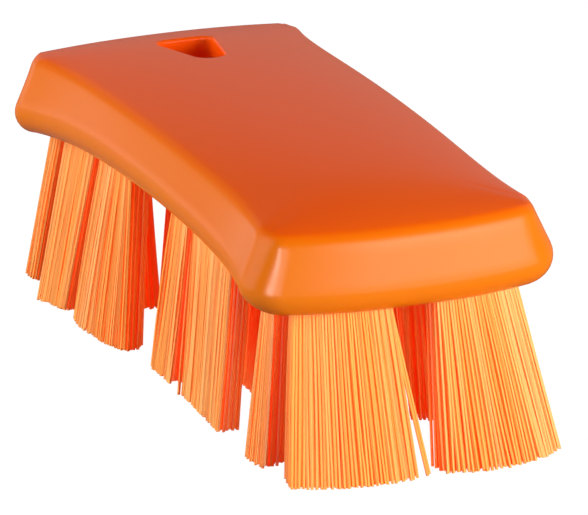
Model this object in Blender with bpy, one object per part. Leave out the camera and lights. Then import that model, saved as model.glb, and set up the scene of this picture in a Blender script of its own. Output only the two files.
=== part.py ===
"""Hygienic hand brush: one moulded block with bristle units anchored in its underside.

Metres, +Z up. The origin lies on the plane that the bristle tips stand on, under the
middle of the block. +Y points to the end with the hanging hole, X runs across.
"""

import math

import bmesh
import bpy
from mathutils import Matrix, Vector

# Driving dimensions of the handle block
BLOCK_LENGTH = 0.165
BLOCK_WIDTH = 0.0704
WAIST_DEPTH = 0.0024
END_REACH = 0.0135
CORNER_RADIUS = 0.009
SIDE_FLARE = math.radians(11.0)
END_TURN = math.radians(75.4)
END_THICKNESS = 0.0185
MIDDLE_THICKNESS = 0.0155
UNDERSIDE_ARCH = 0.0066
ARCH_POWER = 2.1
SIDE_DRAFT_INSET = 0.0080
END_DRAFT_INSET = 0.0027
CORNER_DRAFT_POWER = 1.3
BOTTOM_EDGE_RADIUS = 0.0048
TOP_EDGE_RADIUS = 0.0045
CROWN_EDGE_SLOPE = math.radians(13.3)
CROWN_ACROSS_POWER = 2.4
CROWN_ALONG_POWER = 7.0
CROWN_SIDE_INSET = 0.0067
CROWN_END_INSET = 0.0049
CROWN_SETTLE = 0.00035
CROWN_BLEND_POWER = 3

# Hanging hole, a rounded triangle with its wide side to the end of the block
HOLE_TO_END = 0.0205
HOLE_LENGTH = 0.0215
HOLE_WIDTH = 0.0126
HOLE_WIDE_RADIUS = 0.0030
HOLE_NARROW_RADIUS = 0.0034
HOLE_LIP = 0.0008

# Bristle units: fused roots with a dovetail, held in sockets of the block
TIP_DROP = 0.0355
TRIM_ARCH = 0.0060
TRIM_FLAT_REACH = 0.0125
TRIM_POWER = 2.1
ROOT_WIDTH = 0.0050
ROOT_DEPTH = 0.0050
ROOT_FLARE = 0.0006
ROOT_PROUD = 0.0006
SOCKET_CLEARANCE = 0.0003
STRAND_GAP = 0.0010
TIP_TAPER_SHARE = 0.8
CUT_OVERRUN = 0.0020
CELL_GRID_HALF_SHARE = 0.5

# How finely the curved forms are faceted
SIDE_STEPS = 7
CORNER_STEPS = 5
BOTTOM_ARC_STEPS = 4
TOP_ARC_STEPS = 3
HOLE_ARC_STEPS = 5
END_SHARES = (0.78, 0.48, 0.16)
CROWN_SHARES = (0.85, 0.62, 0.32, 0)

HALF_LENGTH = BLOCK_LENGTH / 2
CORNER_HALF_WIDTH = BLOCK_WIDTH / 2
CORNER_START_Y = HALF_LENGTH - END_REACH
TRIM_FLAT_Y = HALF_LENGTH - TRIM_FLAT_REACH
HOLE_WIDE_Y = HALF_LENGTH - HOLE_TO_END
HOLE_NARROW_Y = HOLE_WIDE_Y - HOLE_LENGTH
EDGE_RISE = MIDDLE_THICKNESS + UNDERSIDE_ARCH - END_THICKNESS
WAIST_POWER = math.tan(SIDE_FLARE) * CORNER_START_Y / WAIST_DEPTH
CROWN_HALF_LENGTH = HALF_LENGTH - CROWN_END_INSET
CROWN_PULL = (CORNER_HALF_WIDTH - CROWN_SIDE_INSET) / CROWN_HALF_LENGTH


def underside_height(y):
    """Height of the arched underside above the tips' plane."""
    return TIP_DROP + UNDERSIDE_ARCH * (1 - abs(y / HALF_LENGTH) ** ARCH_POWER)


def edge_height(y):
    """Height of the top's sharp edge, lower at the ends than in the middle."""
    return TIP_DROP + END_THICKNESS + EDGE_RISE * (1 - abs(y / HALF_LENGTH) ** ARCH_POWER)


def half_width(y):
    """Half width of the block at its widest level, waisted between the corners."""
    return CORNER_HALF_WIDTH - WAIST_DEPTH * (1 - min(abs(y / CORNER_START_Y), 1) ** WAIST_POWER)


def top_height(x, y):
    """Height of the pillowed top."""
    half_crown = half_width(y) - CROWN_SIDE_INSET
    across = 1 - min(abs(x / half_crown), 1) ** CROWN_ACROSS_POWER
    along = 1 - min(abs(y / CROWN_HALF_LENGTH), 1) ** CROWN_ALONG_POWER
    rise = math.tan(CROWN_EDGE_SLOPE) * half_crown / CROWN_ACROSS_POWER
    return edge_height(y) + rise * across * along - CROWN_SETTLE


def quarter_rim():
    """Widest outline of one quarter: list of (point, outward normal) from the waist to the end."""
    rim = []
    for step in range(SIDE_STEPS):
        y = CORNER_START_Y * step / SIDE_STEPS
        slope = math.tan(SIDE_FLARE) * (step / SIDE_STEPS) ** (WAIST_POWER - 1)
        rim.append((Vector((half_width(y), y)), Vector((1, -slope)).normalized()))
    start = Vector((CORNER_HALF_WIDTH, CORNER_START_Y))
    centre = start - CORNER_RADIUS * Vector((math.cos(SIDE_FLARE), -math.sin(SIDE_FLARE)))
    for step in range(CORNER_STEPS + 1):
        angle = -SIDE_FLARE + (END_TURN + SIDE_FLARE) * step / CORNER_STEPS
        normal = Vector((math.cos(angle), math.sin(angle)))
        rim.append((centre + CORNER_RADIUS * normal, normal))
    end_start = rim[-1][0]
    end_bulge = HALF_LENGTH - end_start.y
    end_power = end_start.x / math.tan(END_TURN) / end_bulge
    for share in END_SHARES:
        slope = share ** (end_power - 1) / math.tan(END_TURN)
        point = Vector((share * end_start.x, HALF_LENGTH - end_bulge * share ** end_power))
        rim.append((point, Vector((slope, 1)).normalized()))
    return rim


def wall_section(inset, thickness):
    """Section of the wall as (inset, height) points: lower fillet, drafted wall, upper fillet."""
    draft = math.atan2(inset, thickness)
    points = []
    for step in range(BOTTOM_ARC_STEPS + 1):
        angle = -math.pi / 2 + (draft + math.pi / 2) * step / BOTTOM_ARC_STEPS
        turn = Vector((1 - math.cos(angle), 1 + math.sin(angle)))
        points.append(BOTTOM_EDGE_RADIUS * turn)
    wall = Vector((-math.cos(draft), math.sin(draft)))
    top = Vector((-math.sin(CROWN_EDGE_SLOPE), math.cos(CROWN_EDGE_SLOPE)))
    to_wall = wall.dot(points[-1]) - TOP_EDGE_RADIUS
    to_top = top.dot(Vector((inset, thickness))) - TOP_EDGE_RADIUS
    spread = wall.x * top.y - wall.y * top.x
    centre = Vector((to_wall * top.y - wall.y * to_top, wall.x * to_top - to_wall * top.x)) / spread
    for step in range(TOP_ARC_STEPS + 1):
        angle = draft + (math.pi / 2 - CROWN_EDGE_SLOPE - draft) * step / TOP_ARC_STEPS
        points.append(centre + TOP_EDGE_RADIUS * Vector((-math.cos(angle), math.sin(angle))))
    return points


def side_stations():
    """Stations of the right-hand half of the rim, from the front end to the hanging end."""
    quarter = quarter_rim()
    front = [(Vector((p.x, -p.y)), Vector((n.x, -n.y))) for p, n in reversed(quarter[1:])]
    return front + quarter


def station_section(point, normal):
    """World points up the wall at one station."""
    sideways = abs(normal.x) ** CORNER_DRAFT_POWER
    inset = SIDE_DRAFT_INSET * sideways + END_DRAFT_INSET * (1 - sideways)
    base = underside_height(point.y)
    section = []
    for inward, rise in wall_section(inset, edge_height(point.y) - base):
        place = point - inward * normal
        section.append(Vector((place.x, place.y, base + rise)))
    return section


def crown_point(edge, share):
    """Point of the top on the way from its edge to the long axis, which it meets at share 0."""
    x = share * edge.x
    y = edge.y * (1 - (1 - share) * CROWN_PULL)
    blend = share ** CROWN_BLEND_POWER * (edge.z - top_height(edge.x, edge.y))
    return Vector((x, y, top_height(x, y) + blend))


def mirrored(point):
    return Vector((-point.x, point.y, point.z))


def add_chain(bm, points, closed=False):
    """Vertices joined by edges; returns the edges."""
    verts = [bm.verts.new(point) for point in points]
    pairs = list(zip(verts, verts[1:]))
    if closed:
        pairs.append((verts[-1], verts[0]))
    return [bm.edges.new(pair) for pair in pairs]


def loft(bm, rings):
    for lower, upper in zip(rings, rings[1:]):
        bmesh.ops.bridge_loops(bm, edges=lower + upper)


def new_object(name, bm, collection):
    mesh = bpy.data.meshes.new(name)
    bm.to_mesh(mesh)
    bm.free()
    made = bpy.data.objects.new(name, mesh)
    collection.objects.link(made)
    return made


def plastic(name, colour, roughness):
    """Moulded plastic of one colour."""
    material = bpy.data.materials.new(name)
    material.use_nodes = True
    shader = material.node_tree.nodes["Principled BSDF"]
    shader.inputs["Base Color"].default_value = (*colour, 1.0)
    shader.inputs["Roughness"].default_value = roughness
    shader.inputs["Metallic"].default_value = 0.0
    return material


def build_block(parts):
    """Loft of the block: wall rings, pillowed top and arched underside."""
    bm = bmesh.new()
    right = [station_section(point, normal) for point, normal in side_stations()]
    sides = [[section[level] for section in right] for level in range(len(right[0]))]
    sides += [[crown_point(section[-1], share) for section in right] for share in CROWN_SHARES]
    rings = []
    for side in sides:
        rings.append(add_chain(bm, side + [mirrored(point) for point in reversed(side)], closed=True))
    loft(bm, rings)
    under = []
    for side in (1, -1):
        under.append(add_chain(bm, [Vector((side * s[0].x, s[0].y, s[0].z)) for s in right]))
    loft(bm, under)
    close_seams(bm)
    block = new_object("handle_block", bm, parts)
    block.data.materials.append(plastic("block_plastic", (0.80, 0.16, 0.02), 0.3))
    return block


def close_seams(bm):
    """Weld the long axis and the underside, close its two end panels, turn faces outwards."""
    weld = TOP_EDGE_RADIUS / 1000
    bmesh.ops.remove_doubles(bm, verts=bm.verts, dist=weld)
    loose = [edge for edge in bm.edges if not edge.link_faces]
    bmesh.ops.delete(bm, geom=loose, context="EDGES")
    bmesh.ops.holes_fill(bm, edges=[edge for edge in bm.edges if edge.is_boundary], sides=0)
    bmesh.ops.recalc_face_normals(bm, faces=bm.faces)


def hole_outline(grow):
    """Rounded triangle: three corner arcs joined by their outer tangents."""
    wide_x = HOLE_WIDTH / 2 - HOLE_WIDE_RADIUS
    wide = Vector((wide_x, HOLE_WIDE_Y - HOLE_WIDE_RADIUS))
    narrow = Vector((0, HOLE_NARROW_Y + HOLE_NARROW_RADIUS))
    run = wide - narrow
    side_normal = math.atan2(run.y, run.x) - math.pi / 2
    side_normal -= math.asin((HOLE_WIDE_RADIUS - HOLE_NARROW_RADIUS) / run.length)
    half = []
    for centre, radius, start, end in (
        (narrow, HOLE_NARROW_RADIUS, -math.pi / 2, side_normal),
        (wide, HOLE_WIDE_RADIUS, side_normal, math.pi / 2),
    ):
        for step in range(HOLE_ARC_STEPS + 1):
            angle = start + (end - start) * step / HOLE_ARC_STEPS
            half.append(centre + (radius + grow) * Vector((math.cos(angle), math.sin(angle))))
    return half + [Vector((-p.x, p.y)) for p in reversed(half[1:])]


def build_hole_cutter(cutters):
    """Cutter of the hanging hole, with a small chamfer at both mouths."""
    flare = HOLE_LIP + CUT_OVERRUN
    levels = (
        (flare, lambda p: underside_height(p.y) - CUT_OVERRUN),
        (0, lambda p: underside_height(p.y) + HOLE_LIP),
        (0, lambda p: top_height(p.x, p.y) - HOLE_LIP),
        (flare, lambda p: top_height(p.x, p.y) + CUT_OVERRUN),
    )
    bm = bmesh.new()
    rings = []
    for grow, height in levels:
        rings.append(add_chain(bm, [Vector((p.x, p.y, height(p))) for p in hole_outline(grow)], closed=True))
    loft(bm, rings)
    for end in (rings[0], rings[-1]):
        bmesh.ops.edgeloop_fill(bm, edges=end)
    bmesh.ops.recalc_face_normals(bm, faces=bm.faces)
    return new_object("hanging_hole_cutter", bm, cutters)


# Bristle units. One with a twin stands again turned half a turn about Z.
# Places are shares of the corner's half width (x) and of the half length (y).
# Length and bow shares are of the half length, width shares of the root width.
UNIT_SHARES = {
    "front_left_end_bristles": {
        "root_shares": (-0.376, -0.877), "root_heading": -11,
        "root_length_share": 0.260, "root_bow_share": -0.016,
        "tip_shares": (-0.427, -1.008), "tip_heading": -9,
        "tip_length_share": 0.386, "tip_width_share": 1.8, "tip_bow_share": -0.034,
        "strands": (10, 2), "twin": None,
    },
    "hanging_right_end_bristles": {
        "root_shares": (0.376, 0.877), "root_heading": -11,
        "root_length_share": 0.260, "root_bow_share": 0.016,
        "tip_shares": (0.517, 1.010), "tip_heading": -9,
        "tip_length_share": 0.313, "tip_width_share": 1.8, "tip_bow_share": 0.034,
        "strands": (10, 2), "twin": None,
    },
    "hanging_left_end_bristles": {
        "root_shares": (-0.466, 0.882), "root_heading": 8,
        "root_length_share": 0.240, "root_bow_share": 0.012,
        "tip_shares": (-0.452, 1.024), "tip_heading": 0,
        "tip_length_share": 0.327, "tip_width_share": 1.7, "tip_bow_share": 0.007,
        "strands": (9, 2), "twin": None,
    },
    "front_right_end_bristles": {
        "root_shares": (0.466, -0.882), "root_heading": 8,
        "root_length_share": 0.240, "root_bow_share": -0.012,
        "tip_shares": (0.520, -0.985), "tip_heading": 13,
        "tip_length_share": 0.388, "tip_width_share": 1.7, "tip_bow_share": -0.055,
        "strands": (9, 2), "twin": None,
    },
    "front_left_corner_bristles": {
        "root_shares": (-0.655, -0.745), "root_heading": 90,
        "root_length_share": 0.073, "root_bow_share": 0,
        "tip_shares": (-0.800, -0.789), "tip_heading": 112,
        "tip_length_share": 0.075, "tip_width_share": 1.4, "tip_bow_share": 0,
        "strands": (3, 2), "twin": "hanging_right_corner_bristles",
    },
    "hanging_left_corner_bristles": {
        "root_shares": (-0.680, 0.667), "root_heading": 90,
        "root_length_share": 0.235, "root_bow_share": 0,
        "tip_shares": (-0.870, 0.685), "tip_heading": 90,
        "tip_length_share": 0.235, "tip_width_share": 1.7, "tip_bow_share": 0,
        "strands": (8, 2), "twin": "front_right_corner_bristles",
    },
    "front_left_side_bristles": {
        "root_shares": (-0.680, -0.355), "root_heading": 90,
        "root_length_share": 0.287, "root_bow_share": 0,
        "tip_shares": (-0.885, -0.464), "tip_heading": 90,
        "tip_length_share": 0.297, "tip_width_share": 1.25, "tip_bow_share": 0,
        "strands": (10, 2), "twin": "hanging_right_side_bristles",
    },
    "front_left_waist_bristles": {
        "root_shares": (-0.680, -0.112), "root_heading": 90,
        "root_length_share": 0.120, "root_bow_share": 0,
        "tip_shares": (-0.870, -0.165), "tip_heading": 90,
        "tip_length_share": 0.165, "tip_width_share": 1.7, "tip_bow_share": 0,
        "strands": (4, 2), "twin": "hanging_right_waist_bristles",
    },
    "hanging_left_side_bristles": {
        "root_shares": (-0.680, 0.387), "root_heading": 90,
        "root_length_share": 0.233, "root_bow_share": 0,
        "tip_shares": (-0.932, 0.260), "tip_heading": 90,
        "tip_length_share": 0.424, "tip_width_share": 1.2, "tip_bow_share": 0.024,
        "strands": (9, 2), "twin": "front_right_side_bristles",
    },
    "hanging_left_inner_bristles": {
        "root_shares": (-0.432, 0.612), "root_heading": 75,
        "root_length_share": 0.130, "root_bow_share": 0,
        "tip_shares": (-0.489, 0.576), "tip_heading": 91,
        "tip_length_share": 0.279, "tip_width_share": 1.25, "tip_bow_share": 0,
        "strands": (5, 2), "twin": None,
    },
    "front_right_inner_bristles": {
        "root_shares": (0.387, -0.582), "root_heading": 70,
        "root_length_share": 0.155, "root_bow_share": 0,
        "tip_shares": (0.446, -0.600), "tip_heading": 71,
        "tip_length_share": 0.190, "tip_width_share": 1.5, "tip_bow_share": 0,
        "strands": (5, 2), "twin": None,
    },
    "middle_left_inner_bristles": {
        "root_shares": (-0.335, 0.172), "root_heading": 90,
        "root_length_share": 0.396, "root_bow_share": 0,
        "tip_shares": (-0.420, 0.177), "tip_heading": 90,
        "tip_length_share": 0.415, "tip_width_share": 1.5, "tip_bow_share": 0,
        "strands": (12, 2), "twin": "middle_right_inner_bristles",
    },
    "front_left_inner_bristles": {
        "root_shares": (-0.335, -0.240), "root_heading": 90,
        "root_length_share": 0.330, "root_bow_share": 0,
        "tip_shares": (-0.455, -0.270), "tip_heading": 90,
        "tip_length_share": 0.365, "tip_width_share": 1.7, "tip_bow_share": 0,
        "strands": (10, 2), "twin": "hanging_right_inner_bristles",
    },
    "front_left_cross_bristles": {
        "root_shares": (-0.367, -0.655), "root_heading": 0,
        "root_length_share": 0.100, "root_bow_share": 0,
        "tip_shares": (-0.375, -0.665), "tip_heading": 0,
        "tip_length_share": 0.140, "tip_width_share": 1.5, "tip_bow_share": 0,
        "strands": (3, 2), "twin": "hanging_right_cross_bristles",
    },
    "front_centre_bristles": {
        "root_shares": (0, -0.232), "root_heading": 90,
        "root_length_share": 0.412, "root_bow_share": 0,
        "tip_shares": (0, -0.245), "tip_heading": 90,
        "tip_length_share": 0.450, "tip_width_share": 1.5, "tip_bow_share": 0,
        "strands": (12, 2), "twin": "hanging_centre_bristles",
    },
}


def tip_height(y):
    """Trimmed height of the tips: flat towards the ends, a shallow arch between them."""
    return TRIM_ARCH * max(1 - abs(y / TRIM_FLAT_Y) ** TRIM_POWER, 0)


def root_frame(unit):
    """Placement of a unit's root on the arched underside."""
    x_share, y_share = unit["root_shares"]
    y = y_share * HALF_LENGTH
    run = abs(y_share) ** (ARCH_POWER - 1)
    slope = -math.copysign(UNDERSIDE_ARCH * ARCH_POWER * run / HALF_LENGTH, y)
    spot = Matrix.Translation((x_share * CORNER_HALF_WIDTH, y, underside_height(y)))
    heading = Matrix.Rotation(math.radians(unit["root_heading"]), 4, "Z")
    return spot @ Matrix.Rotation(math.atan(slope), 4, "X") @ heading


def root_prism(bm, unit, strands, clearance, below):
    """Dovetailed root: a grid of bristle cells widened into the block. Returns the cells."""
    length = unit["root_length_share"] * HALF_LENGTH
    bow = unit["root_bow_share"] * HALF_LENGTH
    bmesh.ops.create_grid(bm, x_segments=strands[0], y_segments=strands[1], size=CELL_GRID_HALF_SHARE)
    cells = list(bm.faces)
    taper = ROOT_FLARE / (ROOT_DEPTH + ROOT_PROUD)
    for vert in bm.verts:
        arc = bow * (1 - (2 * vert.co.x) ** 2)
        side = 2 * (clearance + taper * (ROOT_PROUD - below))
        vert.co = Vector((vert.co.x * (length + side), vert.co.y * (ROOT_WIDTH + side) + arc, -below))
    rim = [edge for edge in bm.edges if edge.is_boundary]
    raised = bmesh.ops.extrude_edge_only(bm, edges=rim)["geom"]
    top_edges = [item for item in raised if isinstance(item, bmesh.types.BMEdge) and item.is_boundary]
    height = ROOT_DEPTH + clearance + below
    for vert in {vert for edge in top_edges for vert in edge.verts}:
        along = vert.co.x / length * 2
        arc = bow * (1 - min(abs(along), 1) ** 2)
        vert.co.x += math.copysign(taper * height, vert.co.x) * min(abs(along), 1)
        vert.co.y += math.copysign(taper * height, vert.co.y - arc)
        vert.co.z += height
    bmesh.ops.edgeloop_fill(bm, edges=top_edges)
    return cells


def build_unit(name, unit, parts):
    """One bristle unit: fused root and its strands, as one moulded piece."""
    bm = bmesh.new()
    cells = root_prism(bm, unit, unit["strands"], 0, ROOT_PROUD)
    bmesh.ops.inset_individual(bm, faces=cells, thickness=STRAND_GAP / 2)
    ends = bmesh.ops.extrude_discrete_faces(bm, faces=cells)["faces"]
    root_bow = unit["root_bow_share"] * HALF_LENGTH
    tip_bow = unit["tip_bow_share"] * HALF_LENGTH
    half_root = Vector((unit["root_length_share"] * HALF_LENGTH, ROOT_WIDTH)) / 2
    half_tip = Vector((unit["tip_length_share"] * HALF_LENGTH, unit["tip_width_share"] * ROOT_WIDTH)) / 2
    tip = Vector((unit["tip_shares"][0] * CORNER_HALF_WIDTH, unit["tip_shares"][1] * HALF_LENGTH))
    turn = Matrix.Rotation(math.radians(unit["tip_heading"]), 2)
    frame = root_frame(unit)
    for end in ends:
        centre = end.calc_center_median()
        along = centre.x / half_root.x
        across = (centre.y - root_bow * (1 - along ** 2)) / half_root.y
        spread = Vector((along * half_tip.x, across * half_tip.y + tip_bow * (1 - along ** 2)))
        spot = tip + turn @ spread
        for vert in end.verts:
            offset = frame.to_3x3() @ (vert.co - centre)
            place = spot + TIP_TAPER_SHARE * offset.xy
            vert.co = frame.inverted() @ Vector((place.x, place.y, tip_height(spot.y)))
    bmesh.ops.recalc_face_normals(bm, faces=bm.faces)
    made = new_object(name, bm, parts)
    made.matrix_world = frame
    made.data.materials.append(plastic(name + "_plastic", (0.90, 0.30, 0.06), 0.4))
    if not unit["twin"]:
        return
    twin = bpy.data.objects.new(unit["twin"], made.data.copy())
    parts.objects.link(twin)
    twin.matrix_world = Matrix.Rotation(math.pi, 4, "Z") @ frame
    twin.data.materials[0] = plastic(unit["twin"] + "_plastic", (0.90, 0.30, 0.06), 0.4)


def build_socket_cutter(name, unit, cutters):
    """Cutter of a unit's socket and of its twin's: the root grown by the clearance."""
    segments = (4, 1) if unit["root_bow_share"] else (1, 1)
    owners = [(name, 0)]
    if unit["twin"]:
        owners.append((unit["twin"], math.pi))
    for owner, turn in owners:
        bm = bmesh.new()
        root_prism(bm, unit, segments, SOCKET_CLEARANCE, CUT_OVERRUN)
        bmesh.ops.recalc_face_normals(bm, faces=bm.faces)
        cutter = new_object(owner + "_socket_cutter", bm, cutters)
        cutter.matrix_world = Matrix.Rotation(turn, 4, "Z") @ root_frame(unit)


def main():
    for old in list(bpy.data.objects):
        bpy.data.objects.remove(old, do_unlink=True)
    parts = bpy.data.collections.new("hand_brush")
    cutters = bpy.data.collections.new("block_cutters")
    for collection in (parts, cutters):
        bpy.context.scene.collection.children.link(collection)
    block = build_block(parts)
    build_hole_cutter(cutters)
    for name, unit in UNIT_SHARES.items():
        build_unit(name, unit, parts)
        build_socket_cutter(name, unit, cutters)
    for cutter in cutters.objects:
        cutter.hide_render = True
        cutter.display_type = "WIRE"
    cut = block.modifiers.new("hole_and_sockets", "BOOLEAN")
    cut.operand_type = "COLLECTION"
    cut.collection = cutters
    cut.solver = "EXACT"


main()
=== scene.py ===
import math
import random

import bmesh
import bpy
from mathutils import Matrix, Vector, noise


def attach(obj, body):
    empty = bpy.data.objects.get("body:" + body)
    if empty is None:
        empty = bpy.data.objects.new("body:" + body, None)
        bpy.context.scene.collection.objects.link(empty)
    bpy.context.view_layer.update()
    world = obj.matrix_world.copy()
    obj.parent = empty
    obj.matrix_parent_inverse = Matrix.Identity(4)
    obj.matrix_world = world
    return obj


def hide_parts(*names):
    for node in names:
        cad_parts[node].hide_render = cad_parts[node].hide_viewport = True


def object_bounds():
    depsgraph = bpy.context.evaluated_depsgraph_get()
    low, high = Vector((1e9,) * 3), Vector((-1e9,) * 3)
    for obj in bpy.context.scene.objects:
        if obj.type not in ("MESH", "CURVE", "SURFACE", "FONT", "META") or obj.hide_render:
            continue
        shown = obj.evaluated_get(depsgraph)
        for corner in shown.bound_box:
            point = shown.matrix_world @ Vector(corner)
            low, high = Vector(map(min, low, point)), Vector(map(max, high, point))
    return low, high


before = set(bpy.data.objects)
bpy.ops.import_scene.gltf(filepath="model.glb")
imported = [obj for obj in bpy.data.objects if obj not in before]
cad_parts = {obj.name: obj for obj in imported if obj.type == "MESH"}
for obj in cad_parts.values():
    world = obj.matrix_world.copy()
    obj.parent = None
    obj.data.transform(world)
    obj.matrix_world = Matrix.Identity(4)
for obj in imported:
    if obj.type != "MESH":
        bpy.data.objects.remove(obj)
cad_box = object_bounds()


# Handle block: one solid injection moulding of glossy polypropylene, waisted for the
# fingers, with a pillowed top and an arched underside. It is moulded round the roots
# of the bristle units, so no screw, staple or seam shows anywhere on it.
HALF_LENGTH = 0.0825
CORNER_HALF_WIDTH = 0.0352
WAIST_DEPTH = 0.0024
CORNER_START_Y = 0.069
CORNER_RADIUS = 0.009
SIDE_FLARE = math.radians(11.0)
END_TURN = math.radians(75.4)
TIP_DROP = 0.0355
END_THICKNESS = 0.0185
MIDDLE_THICKNESS = 0.0155
UNDERSIDE_ARCH = 0.0066
ARCH_POWER = 2.1
SIDE_DRAFT_INSET = 0.0080
END_DRAFT_INSET = 0.0027
CORNER_DRAFT_POWER = 1.3
BOTTOM_EDGE_RADIUS = 0.0048
TOP_EDGE_RADIUS = 0.0045
CROWN_EDGE_SLOPE = math.radians(13.3)
CROWN_ACROSS_POWER = 2.4
CROWN_ALONG_POWER = 7.0
CROWN_SIDE_INSET = 0.0067
CROWN_END_INSET = 0.0049
CROWN_SETTLE = 0.00035
CROWN_BLEND_POWER = 3
EDGE_RISE = MIDDLE_THICKNESS + UNDERSIDE_ARCH - END_THICKNESS
WAIST_POWER = math.tan(SIDE_FLARE) * CORNER_START_Y / WAIST_DEPTH
CROWN_HALF_LENGTH = HALF_LENGTH - CROWN_END_INSET
CROWN_PULL = (CORNER_HALF_WIDTH - CROWN_SIDE_INSET) / CROWN_HALF_LENGTH
SIDE_STEPS = 30
CORNER_STEPS = 12
END_STEPS = 12
BOTTOM_ARC_STEPS = 9
WALL_STEPS = 5
TOP_ARC_STEPS = 8
CROWN_STEPS = 20
SEAM_TOLERANCE = TOP_EDGE_RADIUS / 1000
SOFTENING_DEPTH = TOP_EDGE_RADIUS / 8
SOFTENING_ROUNDS = 20


def underside_height(y):
    """Height of the arched underside."""
    return TIP_DROP + UNDERSIDE_ARCH * (1 - abs(y / HALF_LENGTH) ** ARCH_POWER)


def edge_height(y):
    """Height of the edge between the wall and the top, before its fillet."""
    return TIP_DROP + END_THICKNESS + EDGE_RISE * (1 - abs(y / HALF_LENGTH) ** ARCH_POWER)


def half_width(y):
    """Half width of the block at its widest level, waisted between the corners."""
    return CORNER_HALF_WIDTH - WAIST_DEPTH * (1 - min(abs(y / CORNER_START_Y), 1) ** WAIST_POWER)


def top_height(x, y):
    """Height of the pillowed top."""
    half_crown = half_width(y) - CROWN_SIDE_INSET
    across = 1 - min(abs(x / half_crown), 1) ** CROWN_ACROSS_POWER
    along = 1 - min(abs(y / CROWN_HALF_LENGTH), 1) ** CROWN_ALONG_POWER
    rise = math.tan(CROWN_EDGE_SLOPE) * half_crown / CROWN_ACROSS_POWER
    return edge_height(y) + rise * across * along - CROWN_SETTLE


def quarter_rim():
    """Widest outline of one quarter, as (point, outward normal) from the waist to the end."""
    rim = []
    for step in range(SIDE_STEPS):
        y = CORNER_START_Y * step / SIDE_STEPS
        slope = math.tan(SIDE_FLARE) * (step / SIDE_STEPS) ** (WAIST_POWER - 1)
        rim.append((Vector((half_width(y), y)), Vector((1, -slope)).normalized()))
    start = Vector((CORNER_HALF_WIDTH, CORNER_START_Y))
    centre = start - CORNER_RADIUS * Vector((math.cos(SIDE_FLARE), -math.sin(SIDE_FLARE)))
    for step in range(CORNER_STEPS + 1):
        angle = -SIDE_FLARE + (END_TURN + SIDE_FLARE) * step / CORNER_STEPS
        normal = Vector((math.cos(angle), math.sin(angle)))
        rim.append((centre + CORNER_RADIUS * normal, normal))
    corner_end = rim[-1][0]
    bulge = HALF_LENGTH - corner_end.y
    end_power = corner_end.x / math.tan(END_TURN) / bulge
    for step in range(1, END_STEPS):
        share = 1 - step / END_STEPS
        slope = share ** (end_power - 1) / math.tan(END_TURN)
        point = Vector((share * corner_end.x, HALF_LENGTH - bulge * share ** end_power))
        rim.append((point, Vector((slope, 1)).normalized()))
    return rim


def wall_section(inset, thickness):
    """Section of the wall as (inset, height): lower fillet, drafted wall, upper fillet."""
    draft = math.atan2(inset, thickness)
    points = []
    for step in range(BOTTOM_ARC_STEPS + 1):
        angle = -math.pi / 2 + (draft + math.pi / 2) * step / BOTTOM_ARC_STEPS
        points.append(BOTTOM_EDGE_RADIUS * Vector((1 - math.cos(angle), 1 + math.sin(angle))))
    wall = Vector((-math.cos(draft), math.sin(draft)))
    top = Vector((-math.sin(CROWN_EDGE_SLOPE), math.cos(CROWN_EDGE_SLOPE)))
    to_wall = wall.dot(points[-1]) - TOP_EDGE_RADIUS
    to_top = top.dot(Vector((inset, thickness))) - TOP_EDGE_RADIUS
    spread = wall.x * top.y - wall.y * top.x
    centre = Vector((to_wall * top.y - wall.y * to_top, wall.x * to_top - to_wall * top.x)) / spread
    wall_foot = points[-1]
    wall_head = centre + TOP_EDGE_RADIUS * wall
    points += [wall_foot.lerp(wall_head, step / WALL_STEPS) for step in range(1, WALL_STEPS)]
    for step in range(TOP_ARC_STEPS + 1):
        angle = draft + (math.pi / 2 - CROWN_EDGE_SLOPE - draft) * step / TOP_ARC_STEPS
        points.append(centre + TOP_EDGE_RADIUS * Vector((-math.cos(angle), math.sin(angle))))
    return points


def station_section(point, normal):
    """Points up the wall at one place of the rim."""
    sideways = abs(normal.x) ** CORNER_DRAFT_POWER
    inset = SIDE_DRAFT_INSET * sideways + END_DRAFT_INSET * (1 - sideways)
    base = underside_height(point.y)
    section = []
    for inward, rise in wall_section(inset, edge_height(point.y) - base):
        place = point - inward * normal
        section.append(Vector((place.x, place.y, base + rise)))
    return section


def crown_point(edge, share):
    """Point of the top on the way from its edge to the long axis, which it meets at share 0."""
    x = share * edge.x
    y = edge.y * (1 - (1 - share) * CROWN_PULL)
    blend = share ** CROWN_BLEND_POWER * (edge.z - top_height(edge.x, edge.y))
    return Vector((x, y, top_height(x, y) + blend))


def add_chain(bm, points, closed=False):
    """Vertices joined by edges; returns the edges."""
    verts = [bm.verts.new(point) for point in points]
    pairs = list(zip(verts, verts[1:]))
    if closed:
        pairs.append((verts[-1], verts[0]))
    return [bm.edges.new(pair) for pair in pairs]


def loft(bm, rings):
    """Faces between each ring of edges and the next."""
    for lower, upper in zip(rings, rings[1:]):
        bmesh.ops.bridge_loops(bm, edges=lower + upper)


def make_piece(name, bm):
    """A bmesh turned into an object at the origin."""
    mesh = bpy.data.meshes.new(name)
    bm.to_mesh(mesh)
    bm.free()
    piece = bpy.data.objects.new(name, mesh)
    bpy.context.scene.collection.objects.link(piece)
    return piece


quarter = quarter_rim()
front_half = [(Vector((p.x, -p.y)), Vector((n.x, -n.y))) for p, n in reversed(quarter[1:])]
walls = [station_section(point, normal) for point, normal in front_half + quarter]

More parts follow.
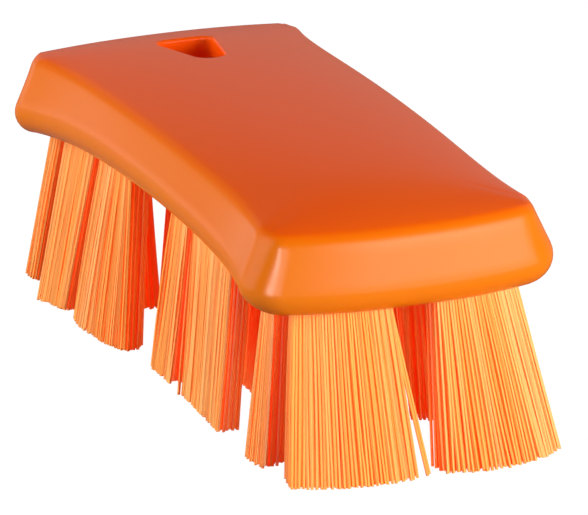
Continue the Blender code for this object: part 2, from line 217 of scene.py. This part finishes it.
block_bm = bmesh.new()
sides = [[wall[level] for wall in walls] for level in range(len(walls[0]))]
for step in range(1, CROWN_STEPS + 1):
    sides.append([crown_point(wall[-1], 1 - step / CROWN_STEPS) for wall in walls])
rings = []
for side in sides:
    other_side = [Vector((-p.x, p.y, p.z)) for p in reversed(side)]
    rings.append(add_chain(block_bm, side + other_side, closed=True))
loft(block_bm, rings)
feet = [add_chain(block_bm, [Vector((s * p.x, p.y, p.z)) for p in sides[0]]) for s in (1, -1)]
loft(block_bm, feet)
bmesh.ops.remove_doubles(block_bm, verts=block_bm.verts, dist=SEAM_TOLERANCE)
bmesh.ops.delete(block_bm, geom=[edge for edge in block_bm.edges if not edge.link_faces], context="EDGES")
bmesh.ops.holes_fill(block_bm, edges=[edge for edge in block_bm.edges if edge.is_boundary], sides=0)
bmesh.ops.recalc_face_normals(block_bm, faces=block_bm.faces)
upper = [vert for vert in block_bm.verts if vert.co.z > edge_height(vert.co.y) - SOFTENING_DEPTH]
for _ in range(SOFTENING_ROUNDS):
    bmesh.ops.smooth_vert(
        block_bm, verts=upper, factor=0.5, use_axis_x=True, use_axis_y=True, use_axis_z=True)
block = make_piece("moulded_block", block_bm)


# Hanging hole: a rounded triangle formed by a core pin in the same mould, its mouths
# softened so that a hook doesn't catch. It is cut here with a pin of that shape.
HOLE_WIDE_Y = 0.062
HOLE_NARROW_Y = 0.0405
HOLE_WIDTH = 0.0126
HOLE_WIDE_RADIUS = 0.0030
HOLE_NARROW_RADIUS = 0.0034
HOLE_LIP = 0.0008
HOLE_ARC_STEPS = 12
HOLE_LIP_STEPS = 6
CUT_OVERRUN = 0.0004
SHARP_BLOCK_EDGE = math.radians(40)


def hole_outline(grow):
    """Rounded triangle: three corner arcs joined by their outer tangents."""
    wide = Vector((HOLE_WIDTH / 2 - HOLE_WIDE_RADIUS, HOLE_WIDE_Y - HOLE_WIDE_RADIUS))
    narrow = Vector((0, HOLE_NARROW_Y + HOLE_NARROW_RADIUS))
    run = wide - narrow
    side_normal = math.atan2(run.y, run.x) - math.pi / 2
    side_normal -= math.asin((HOLE_WIDE_RADIUS - HOLE_NARROW_RADIUS) / run.length)
    half = []
    for centre, radius, start, end in (
        (narrow, HOLE_NARROW_RADIUS, -math.pi / 2, side_normal),
        (wide, HOLE_WIDE_RADIUS, side_normal, math.pi / 2),
    ):
        for step in range(HOLE_ARC_STEPS + 1):
            angle = start + (end - start) * step / HOLE_ARC_STEPS
            half.append(centre + (radius + grow) * Vector((math.cos(angle), math.sin(angle))))
    return half + [Vector((-p.x, p.y)) for p in reversed(half[1:])]


def shade_smooth(piece, sharp_angle):
    """Smooth shading, kept sharp at edges that bend by more than an angle."""
    piece.data.shade_smooth()
    piece.data.set_sharp_from_angle(angle=sharp_angle)


pin_bm = bmesh.new()
levels = []
for step in range(HOLE_LIP_STEPS + 1):
    angle = math.pi / 2 * step / HOLE_LIP_STEPS
    levels.append((HOLE_LIP * (1 - math.sin(angle)), HOLE_LIP * (1 - math.cos(angle))))
pin_rings = []
for grow, depth in [(HOLE_LIP + CUT_OVERRUN, -CUT_OVERRUN)] + levels:
    points = [Vector((p.x, p.y, underside_height(p.y) + depth)) for p in hole_outline(grow)]
    pin_rings.append(add_chain(pin_bm, points, closed=True))
for grow, depth in levels[::-1] + [(HOLE_LIP + CUT_OVERRUN, -CUT_OVERRUN)]:
    points = [Vector((p.x, p.y, top_height(p.x, p.y) - depth)) for p in hole_outline(grow)]
    pin_rings.append(add_chain(pin_bm, points, closed=True))
loft(pin_bm, pin_rings)
for end in (pin_rings[0], pin_rings[-1]):
    bmesh.ops.edgeloop_fill(pin_bm, edges=end)
bmesh.ops.recalc_face_normals(pin_bm, faces=pin_bm.faces)
pin = make_piece("core_pin", pin_bm)
cut = block.modifiers.new("hanging_hole", "BOOLEAN")
cut.object = pin
cut.solver = "EXACT"
bored = bpy.data.meshes.new_from_object(block.evaluated_get(bpy.context.evaluated_depsgraph_get()))
block.modifiers.clear()
block.data = bored
bpy.data.objects.remove(pin)
shade_smooth(block, SHARP_BLOCK_EDGE)


# Plastic of the block: glossy, faintly clouded, with a very fine grain. The walls are painted
# lighter than the top and the hole, by a tone kept on the vertices that goes by how far each
# faces up: painted light on the walls, painted shade on the top and in the hole.
# Lit and shaded copies of one orange: painted light on the walls, painted shade on the top and in the hole.
SHADED_TOP_ORANGE = (0.98, 0.103, 0.001, 1.0)
LIT_WALL_ORANGE = (0.86, 0.190, 0.001, 1.0)
CLOUD_SCALE = 28.0
CLOUD_TINT = 0.2
CLOUD_ROUGHNESS = 0.06
CLEAREST_ROUGHNESS = 0.22
GRAIN_SCALE = 1400.0
GRAIN_STRENGTH = 0.06
GRAIN_DEPTH = 0.0001


def painted_wall_light(vert):
    """Painted light: near 1 on the walls, near 0 on the top as it faces up, and 0 in the hole as painted
    shade.
    """
    hole_middle_y = (HOLE_WIDE_Y + HOLE_NARROW_Y) / 2
    hole_half_length = (HOLE_WIDE_Y - HOLE_NARROW_Y) / 2
    beside_hole = abs(vert.co.x) > HOLE_WIDTH / 2 + HOLE_LIP
    beyond_hole = abs(vert.co.y - hole_middle_y) > hole_half_length + HOLE_LIP
    return 1 - max(vert.normal.z, 0) ** 2 if beside_hole or beyond_hole else 0


# The tone named side carries the painted light of the walls and the painted shade of the top and the hole.
painted_wall_lights = block.data.attributes.new("side", "FLOAT", "POINT")
painted_wall_lights.data.foreach_set("value", [painted_wall_light(vert) for vert in block.data.vertices])


class Wire:
    """A shader socket that can be used in a sum."""

    def __init__(self, finish, socket):
        self.finish = finish
        self.socket = socket

    def maths(self, operation, first, second):
        """One operation on two wires or numbers."""
        return self.finish.add("ShaderNodeMath", {"operation": operation}, {0: first, 1: second})

    def __add__(self, other):
        return self.maths("ADD", self, other)

    __radd__ = __add__

    def __mul__(self, other):
        return self.maths("MULTIPLY", self, other)

    __rmul__ = __mul__

    def __sub__(self, other):
        return self.maths("SUBTRACT", self, other)

    def __rsub__(self, other):
        return self.maths("SUBTRACT", other, self)

    def __pow__(self, other):
        return self.maths("POWER", self, other)


class Finish:
    """The nodes of one finish, laid out by add()."""

    def __init__(self, owner):
        owner.use_nodes = True
        self.tree = owner.node_tree
        self.shader = next(node for node in self.tree.nodes if node.type in ("BSDF_PRINCIPLED", "BACKGROUND"))
        self.output = next(node for node in self.tree.nodes if node.type.startswith("OUTPUT"))

    def add(self, kind, settings=None, inputs=None, output=0, stops=()):
        """A new node, set up and fed; returns one of its outputs."""
        node = self.tree.nodes.new(kind)
        for name, value in (settings or {}).items():
            setattr(node, name, value)
        for spot, (position, colour) in enumerate(stops):
            elements = node.color_ramp.elements
            stop = elements[spot] if spot < len(elements) else elements.new(position)
            stop.position = position
            stop.color = (*colour, 1.0)
        for name, value in (inputs or {}).items():
            self.feed(node.inputs[name], value)
        return Wire(self, node.outputs[output])

    def feed(self, socket, value):
        """Link a wire to a socket, or give the socket a value."""
        if isinstance(value, Wire):
            self.tree.links.new(value.socket, socket)
        else:
            socket.default_value = value

    def set(self, **values):
        """Feed inputs of the main shader, by name."""
        for name, value in values.items():
            self.feed(self.shader.inputs[name.replace("_", " ")], value)

    def blend(self, factor, first, second):
        """Mix of two colours, by socket numbers, because the node's names repeat."""
        return self.add("ShaderNodeMix", {"data_type": "RGBA"}, {0: factor, 6: first, 7: second}, output=2)


plastic = Finish(bpy.data.materials.new("moulded_block_plastic"))
place = plastic.add("ShaderNodeTexCoord", output="Object")
cloud = plastic.add("ShaderNodeTexNoise", {}, {"Vector": place, "Scale": CLOUD_SCALE, "Detail": 2.0})
grain = plastic.add("ShaderNodeTexNoise", {}, {"Vector": place, "Scale": GRAIN_SCALE, "Detail": 2.0})
painted_light_share = plastic.add("ShaderNodeAttribute", {"attribute_name": "side"}, output="Fac")
# Base colour: painted light on the walls and painted shade on the top and in the hole, with a faint random
# cloud.
plastic.set(Base_Color=plastic.blend(painted_light_share + (cloud - 0.5) * CLOUD_TINT, SHADED_TOP_ORANGE, LIT_WALL_ORANGE))
plastic.set(Roughness=CLEAREST_ROUGHNESS + cloud * CLOUD_ROUGHNESS)
plastic.set(Specular_IOR_Level=0.42, IOR=1.49)
plastic.set(Normal=plastic.add(
    "ShaderNodeBump", {}, {"Strength": GRAIN_STRENGTH, "Distance": GRAIN_DEPTH, "Height": grain}))
block.data.materials.clear()
block.data.materials.append(bpy.data.materials["moulded_block_plastic"])
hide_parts("handle_block")
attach(block, "root")


# Bristle units: rows of stiff round filaments, extruded polyester, their roots fused
# into a bar that the block is moulded round. They lean outwards and are trimmed to a
# shallow arch, so that the brush stands on its two ends.
TRIM_ARCH = 0.0060
TRIM_FLAT_Y = 0.070
TRIM_POWER = 2.1
ROOT_WIDTH = 0.0050
ROOT_DEPTH = 0.0050
ROOT_PROUD = 0.0006
ROOT_CORNER = ROOT_WIDTH * 0.3
ROOT_CORNER_STEPS = 4
FILAMENT_RADIUS = 0.00036
FILAMENT_PITCH = 0.00066
FILAMENT_SIDES = 5
FILAMENT_STEPS = 4
SHARP_FILAMENT_EDGE = math.radians(50)
EDGE_SPREAD = 0.0006
FAN_SHORTENING = 0.00215

# A unit's first line is its root: place in half widths and half lengths of the block,
# heading in degrees, then length and bow in half lengths. The second is its tips, with
# their width in half root widths before the bow, and its twin half a turn round the block.
UNITS = {
    "front_left_end_bristles": (
        (-0.376, -0.877), -11, 0.260, -0.016,
        (-0.438, -1.008), -9, 0.386, 1.8, -0.034, None),
    "hanging_right_end_bristles": (
        (0.376, 0.877), -11, 0.260, 0.016,
        (0.517, 1.010), -9, 0.313, 1.8, 0.034, None),
    "hanging_left_end_bristles": (
        (-0.466, 0.882), 8, 0.240, 0.012,
        (-0.452, 1.024), 0, 0.327, 1.7, 0.007, None),
    "front_right_end_bristles": (
        (0.466, -0.882), 8, 0.240, -0.012,
        (0.520, -0.985), 13, 0.388, 1.7, -0.055, None),
    "front_left_corner_bristles": (
        (-0.655, -0.745), 90, 0.073, 0,
        (-0.800, -0.789), 112, 0.095, 2.1, 0, "hanging_right_corner_bristles"),
    "hanging_left_corner_bristles": (
        (-0.680, 0.667), 90, 0.235, 0,
        (-0.870, 0.685), 90, 0.235, 1.7, 0, "front_right_corner_bristles"),
    "front_left_side_bristles": (
        (-0.680, -0.355), 90, 0.287, 0,
        (-0.885, -0.464), 90, 0.297, 1.25, 0, "hanging_right_side_bristles"),
    "front_left_waist_bristles": (
        (-0.680, -0.112), 90, 0.120, 0,
        (-0.870, -0.165), 90, 0.165, 1.7, 0, "hanging_right_waist_bristles"),
    "hanging_left_side_bristles": (
        (-0.680, 0.387), 90, 0.233, 0,
        (-0.932, 0.260), 90, 0.424, 1.2, 0.024, "front_right_side_bristles"),
    "hanging_left_inner_bristles": (
        (-0.432, 0.612), 75, 0.130, 0,
        (-0.489, 0.576), 91, 0.279, 1.25, 0, None),
    "front_right_inner_bristles": (
        (0.362, -0.582), 70, 0.165, 0,
        (0.412, -0.600), 71, 0.200, 2.4, 0, None),
    "middle_left_inner_bristles": (
        (-0.335, 0.172), 90, 0.410, 0,
        (-0.420, 0.177), 90, 0.438, 1.5, 0, "middle_right_inner_bristles"),
    "front_left_inner_bristles": (
        (-0.335, -0.240), 90, 0.330, 0,
        (-0.455, -0.270), 90, 0.365, 1.7, 0, "hanging_right_inner_bristles"),
    "front_left_cross_bristles": (
        (-0.367, -0.655), 0, 0.100, 0,
        (-0.375, -0.665), 0, 0.140, 1.5, 0, "hanging_right_cross_bristles"),
    "front_centre_bristles": (
        (0, -0.232), 90, 0.412, 0,
        (0, -0.245), 90, 0.450, 1.5, 0, "hanging_centre_bristles"),
}

# Units with loose filaments at one end: which end, how far they splay in half lengths of
# the tips, how far they hang below the trim, and what share of that end is loose.
LOOSE_ENDS = {
    "front_left_end_bristles": (1, 1.15, 0, 0.35),
    "hanging_right_end_bristles": (-1, 1.5, 0, 0.35),
    "front_left_waist_bristles": (-1, 1.2, 0.0045, 0.6),
    "front_left_side_bristles": (1, 1.18, 0.0030, 0.8),
}
NO_LOOSE_END = (0, 1, 0, 0)
LOOSE_FROM = 0.95
LEAST_LOOSE_SPLAY = 1.04
SPLAY = 0.98
GATHERED_SPLAY = 0.92
ROOT_NUDGE = 0.35
NOISE_RANGE = 50
CLUMPS_ALONG = 260
CLUMPS_ACROSS = 120
CLUMP_LEAN_ALONG = 0.03
CLUMP_LEAN_ACROSS = 0.08
CLUMP_FADE_POWER = 4
LEAN_ALONG = 0.004
LEAN_ACROSS = 0.02
STRAY_CHANCE = 0.004
STRAY_REACH = 0.002
TRIM_ERROR = 0.0001
TRIM_SPREAD = 0.0003
SHORT_CHANCE = 0.012
SHORT_BY = (0.0005, 0.002)
SAG = 0.00015
CLUMP_TONE = 0.9
TONE_SPREAD = 0.25


def tip_height(y):
    """Height of the trim above the table."""
    return TRIM_ARCH * max(1 - abs(y / TRIM_FLAT_Y) ** TRIM_POWER, 0)


def root_frame(shares, heading):
    """Placement of a unit's root on the arched underside."""
    y = shares[1] * HALF_LENGTH
    run = abs(shares[1]) ** (ARCH_POWER - 1)
    slope = -math.copysign(UNDERSIDE_ARCH * ARCH_POWER * run / HALF_LENGTH, y)
    spot = Matrix.Translation((shares[0] * CORNER_HALF_WIDTH, y, underside_height(y)))
    turn = Matrix.Rotation(math.radians(heading), 4, "Z")
    return spot @ Matrix.Rotation(math.atan(slope), 4, "X") @ turn


def root_places(length, dice):
    """Filament places on the fused root as shares (along, across), in offset rows."""
    row_step = FILAMENT_PITCH * math.sqrt(3) / 2
    rows = round((ROOT_WIDTH - FILAMENT_PITCH) / row_step)
    columns = round((length - FILAMENT_PITCH) / FILAMENT_PITCH)
    places = []
    for row in range(rows + 1):
        for column in range(columns + 1 - row % 2):
            along = 2 * (column + row % 2 / 2) / columns - 1
            across = 2 * row / rows - 1
            nudge = ROOT_NUDGE / columns
            places.append((along + dice.uniform(-nudge, nudge), across + dice.uniform(-nudge, nudge)))
    return places


def grow_filaments(bm, unit, half_turn, loose_end, reach, drop, loose_share, dice):
    """Each filament starts as a disc on the root and is drawn out in steps to its tip."""
    root, root_heading, root_length, root_bow, tip, tip_heading, tip_length, tip_width, tip_bow, _ = unit
    owner = bm.faces.layers.int.new("filament")
    tone = bm.verts.layers.float.new("tone")
    placed = root_frame(root, root_heading)
    tip_spot = Vector((tip[0] * CORNER_HALF_WIDTH, tip[1] * HALF_LENGTH))
    tip_turn = Matrix.Rotation(math.radians(tip_heading), 2)
    root_run = root_length * HALF_LENGTH - 2 * FILAMENT_RADIUS
    half_root = Vector((root_run, ROOT_WIDTH - 2 * FILAMENT_RADIUS)) / 2
    fan = 0.5 - 0.5 * FAN_SHORTENING / (root_length * HALF_LENGTH)
    half_run = tip_length * HALF_LENGTH * fan + EDGE_SPREAD
    half_tip = Vector((half_run, tip_width * ROOT_WIDTH / 4 + EDGE_SPREAD))
    limits = (cad_box[1].x - FILAMENT_RADIUS, cad_box[1].y - FILAMENT_RADIUS)
    paths = []
    clump_start = Vector((dice.uniform(0, NOISE_RANGE), dice.uniform(0, NOISE_RANGE), 0))
    for along, across in root_places(root_length * HALF_LENGTH, dice):
        bow = root_bow * HALF_LENGTH * (1 - along ** 2)
        start = placed @ Vector((along * half_root.x, across * half_root.y + bow, -ROOT_PROUD / 2))
        clump_spot = Vector((along * half_root.x * CLUMPS_ALONG, across * half_root.y * CLUMPS_ACROSS, 0))
        clump = noise.noise_vector(clump_start + clump_spot)
        splay = GATHERED_SPLAY if loose_end == 1 else SPLAY
        loose = along * loose_end > LOOSE_FROM and dice.random() < loose_share
        if loose:
            splay = dice.uniform(LEAST_LOOSE_SPLAY, reach)
        clump_lean = CLUMP_LEAN_ALONG * clump.x * (1 - along ** CLUMP_FADE_POWER)
        spread_along = splay * along + clump_lean + dice.gauss(0, LEAN_ALONG)
        spread_across = across + CLUMP_LEAN_ACROSS * clump.y + dice.gauss(0, LEAN_ACROSS)
        tip_arc = tip_bow * HALF_LENGTH * (1 - along ** 2)
        flat = tip_turn @ Vector((spread_along * half_tip.x, spread_across * half_tip.y + tip_arc))
        flat += tip_spot
        if dice.random() < STRAY_CHANCE:
            flat += Vector((dice.uniform(-STRAY_REACH, STRAY_REACH) for _ in range(2)))
        flat = Vector((max(min(c, limit), -limit) for c, limit in zip(flat, limits)))
        height = tip_height(flat.y) + max(dice.gauss(TRIM_ERROR, TRIM_SPREAD), 0)
        if dice.random() < SHORT_CHANCE:
            height += dice.uniform(*SHORT_BY)
        if loose:
            height = max(height - dice.uniform(0, drop), 0)
        end = Vector((flat.x, flat.y, height))
        sag = Vector((dice.gauss(0, SAG), dice.gauss(0, SAG), 0))
        shade = 0.5 + CLUMP_TONE * clump.z + dice.uniform(-TONE_SPREAD, TONE_SPREAD)
        shade = min(max(shade, 0), 1)
        paths.append((start, end, sag, shade))
    discs = []
    for number, (start, end, sag, shade) in enumerate(paths):
        made = bmesh.ops.create_circle(
            bm, cap_ends=True, segments=FILAMENT_SIDES, radius=FILAMENT_RADIUS,
            matrix=Matrix.Translation(start) @ Matrix.Rotation(shade * math.tau, 4, "Z"))
        disc = made["verts"][0].link_faces[0]
        disc[owner] = number
        discs.append(disc)
        for vert in made["verts"]:
            vert[tone] = shade
    for step in range(1, FILAMENT_STEPS + 1):
        share = step / FILAMENT_STEPS
        discs = bmesh.ops.extrude_discrete_faces(bm, faces=discs)["faces"]
        for disc in discs:
            start, end, sag, shade = paths[disc[owner]]
            spot = start.lerp(end, share) + sag * math.sin(math.pi * share)
            shift = spot - disc.calc_center_median()
            for vert in disc.verts:
                vert.co += shift
    bases = [edge for edge in bm.edges if edge.is_boundary]
    bmesh.ops.holes_fill(bm, edges=bases, sides=FILAMENT_SIDES)
    if half_turn:
        bmesh.ops.rotate(bm, verts=bm.verts, cent=(0, 0, 0), matrix=Matrix.Rotation(math.pi, 3, "Z"))


def add_root(bm, unit, half_turn):
    """Fused root: a bar with rounded corners, sunk in the block but for its foot."""
    root, heading, length = unit[:3]
    depth = ROOT_DEPTH + ROOT_PROUD
    grow = Matrix.Diagonal((length * HALF_LENGTH, ROOT_WIDTH, depth, 1))
    made = bmesh.ops.create_cube(bm, size=1.0, matrix=grow)
    upright = {
        edge for vert in made["verts"] for edge in vert.link_edges
        if abs(edge.verts[0].co.z - edge.verts[1].co.z) > depth / 2}
    rounded = bmesh.ops.bevel(
        bm, geom=list(upright), offset=ROOT_CORNER, offset_type="OFFSET", affect="EDGES",
        segments=ROOT_CORNER_STEPS, profile=0.5, material=-1)
    faces = {face for vert in rounded["verts"] for face in vert.link_faces}
    verts = {vert for face in faces for vert in face.verts}
    placed = root_frame(root, heading) @ Matrix.Translation((0, 0, depth / 2 - ROOT_PROUD))
    if half_turn:
        placed = Matrix.Rotation(math.pi, 4, "Z") @ placed
    for vert in verts:
        vert.co = placed @ vert.co


# Plastic of the filaments, in tones that change from clump to clump. Shadow rays find an
# orange film there, because such filaments let light through, and a weak red glow stands
# for the light that scatters inside the rows.
FILAMENT_LIGHT = (0.98, 0.52, 0.155, 1.0)
FILAMENT_DEEP = (0.98, 0.42, 0.075, 1.0)
FILAMENT_FILM = (0.92, 0.48, 0.12, 1.0)
FILAMENT_GLOW = (0.9, 0.012, 0.0, 1.0)
TONE_POWER = 1.2
DEEP_ROUGHNESS = 0.5
LIGHT_GLOSS = 0.1
filament = Finish(bpy.data.materials.new("filament_plastic"))
tone_share = filament.add("ShaderNodeAttribute", {"attribute_name": "tone"}, output="Fac")
filament.set(Base_Color=filament.blend(tone_share ** TONE_POWER, FILAMENT_DEEP, FILAMENT_LIGHT))
filament.set(Roughness=DEEP_ROUGHNESS - LIGHT_GLOSS * tone_share)
filament.set(Specular_IOR_Level=0.25, Emission_Color=FILAMENT_GLOW, Emission_Strength=0.15)
seen_through = filament.add("ShaderNodeBsdfTransparent", {}, {"Color": FILAMENT_FILM})
shadow_ray = filament.add("ShaderNodeLightPath", output="Is Shadow Ray")
solid = Wire(filament, filament.shader.outputs["BSDF"])
filament.feed(filament.output.inputs["Surface"], filament.add(
    "ShaderNodeMixShader", {}, {0: shadow_ray, 1: solid, 2: seen_through}))

# Both random sources start from a set seed, so that each run grows the same filaments.
dice = random.Random(11)
noise.seed_set(23)
for name, unit in UNITS.items():
    for node, half_turn in ((name, False), (unit[-1], True)):
        if not node:
            continue
        unit_bm = bmesh.new()
        grow_filaments(unit_bm, unit, half_turn, *LOOSE_ENDS.get(name, NO_LOOSE_END), dice)
        add_root(unit_bm, unit, half_turn)
        bmesh.ops.recalc_face_normals(unit_bm, faces=unit_bm.faces)
        bunch = make_piece(node.replace("bristles", "filaments"), unit_bm)
        shade_smooth(bunch, SHARP_FILAMENT_EDGE)
        bunch.data.materials.append(bpy.data.materials["filament_plastic"])
        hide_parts(node)
        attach(bunch, "root")


# Table: grey paper just under the tips. To the camera it is mostly plain white, so that
# the ground looks white but for a faint shadow, and the plastic mirrors no white from it.
TABLE_HALF_SIZE = 4.0
TABLE_DROP = 0.0001
TABLE_GREY = (0.28, 0.28, 0.28, 1.0)
WHITE_SHARE = 0.85
WHITE_STRENGTH = 1.17
table_bm = bmesh.new()
under_tips = Matrix.Translation((0, 0, -TABLE_DROP))
bmesh.ops.create_grid(table_bm, x_segments=1, y_segments=1, size=TABLE_HALF_SIZE, matrix=under_tips)
table = make_piece("table", table_bm)
paper = Finish(bpy.data.materials.new("table_paper"))
paper.set(Base_Color=TABLE_GREY, Roughness=0.9)
white_share = paper.add("ShaderNodeLightPath", output="Is Camera Ray") * WHITE_SHARE
white = paper.add("ShaderNodeEmission", {}, {"Strength": WHITE_STRENGTH})
lit_paper = Wire(paper, paper.shader.outputs["BSDF"])
paper.feed(paper.output.inputs["Surface"], paper.add(
    "ShaderNodeMixShader", {}, {0: white_share, 1: lit_paper, 2: white}))
table.data.materials.append(bpy.data.materials["table_paper"])


# Studio: a dim grey room that is white to the camera, three broad lamps that light the
# brush, and six cards and softboxes that show only in its gloss.
ROOM_GREYS = ((0.0, 0.08), (0.3, 0.06), (0.4, 0.03), (1.0, 0.03))
world = bpy.data.worlds.new("studio")
bpy.context.scene.world = world
sky = Finish(world)
direction = sky.add("ShaderNodeTexCoord", output="Generated")
upward = sky.add("ShaderNodeSeparateXYZ", {}, {"Vector": direction}, output="Z")
grey_stops = [(position, (grey, grey, grey)) for position, grey in ROOM_GREYS]
room = sky.add("ShaderNodeValToRGB", {}, {"Fac": upward}, stops=grey_stops)
camera_ray = sky.add("ShaderNodeLightPath", output="Is Camera Ray")
sky.set(Color=sky.blend(camera_ray, room, (1, 1, 1, 1)), Strength=1.0)


def add_lamp(name, azimuth, elevation, distance, size, radiance, diffuse=True, gloss=True):
    """A lamp aimed at the brush. Azimuth 0 is the front, and a positive one is to the left."""
    turn, rise = math.radians(azimuth), math.radians(elevation)
    level = math.cos(rise)
    way = Vector((-math.sin(turn) * level, -math.cos(turn) * level, math.sin(rise)))
    lamp = bpy.data.lights.new(name, "AREA")
    lamp.shape = "RECTANGLE"
    lamp.size, lamp.size_y = size
    lamp.energy = radiance * math.pi * size[0] * size[1]
    holder = bpy.data.objects.new(name, lamp)
    bpy.context.scene.collection.objects.link(holder)
    holder.visible_camera = False
    holder.visible_diffuse = diffuse
    holder.visible_glossy = gloss
    aim = way.to_track_quat("Z", "Y").to_matrix().to_4x4()
    holder.matrix_world = Matrix.Translation(way * distance) @ aim


add_lamp("front_softbox", -30, 5, 2.5, (1.8, 0.75), 3.4, diffuse=False)
add_lamp("front_card", -12, 3, 2.4, (1.8, 0.6), 0.7, diffuse=False)
add_lamp("front_fill", -29, 12, 2.6, (2.8, 1.3), 9.2, gloss=False)
add_lamp("left_fill", 117, 18, 2.5, (2.4, 1.7), 6.1, gloss=False)
add_lamp("right_fill", -122, 26, 2.5, (2.4, 2.0), 1.8, gloss=False)
add_lamp("corner_softbox", 35, 6.5, 2.5, (1.6, 0.8), 4.2, diffuse=False)
add_lamp("corner_strip", 47, 7, 2.4, (0.7, 0.7), 8.0, diffuse=False)
add_lamp("back_card", 193, 14, 2.7, (2.4, 1.3), 0.25, diffuse=False)
add_lamp("low_card", 158, 1.5, 2.5, (1.3, 0.36), 0.85, diffuse=False)


# Camera: a very long lens, some four metres off at the front left and a little above, so
# that lines that run away from it hardly draw together.
CAMERA_LENS = 1224.5
CAMERA_PLACE = (-1.41422, -3.89553, 1.28407)
CAMERA_TURN = math.radians(-19.988)
CAMERA_TILT = math.radians(90 - 16.906)
CAMERA_ROLL = math.radians(-1.218)
camera = bpy.data.cameras.new("camera")
camera.lens = CAMERA_LENS
camera.sensor_width = 36.0
camera.clip_end = 50.0
viewer = bpy.data.objects.new("camera", camera)
bpy.context.scene.collection.objects.link(viewer)
turn = Matrix.Rotation(CAMERA_TURN, 4, "Z")
tilt = Matrix.Rotation(CAMERA_TILT, 4, "X")
roll = Matrix.Rotation(CAMERA_ROLL, 4, "Z")
viewer.matrix_world = Matrix.Translation(CAMERA_PLACE) @ turn @ tilt @ roll
bpy.context.scene.camera = viewer
bpy.context.scene.view_settings.view_transform = "Standard"
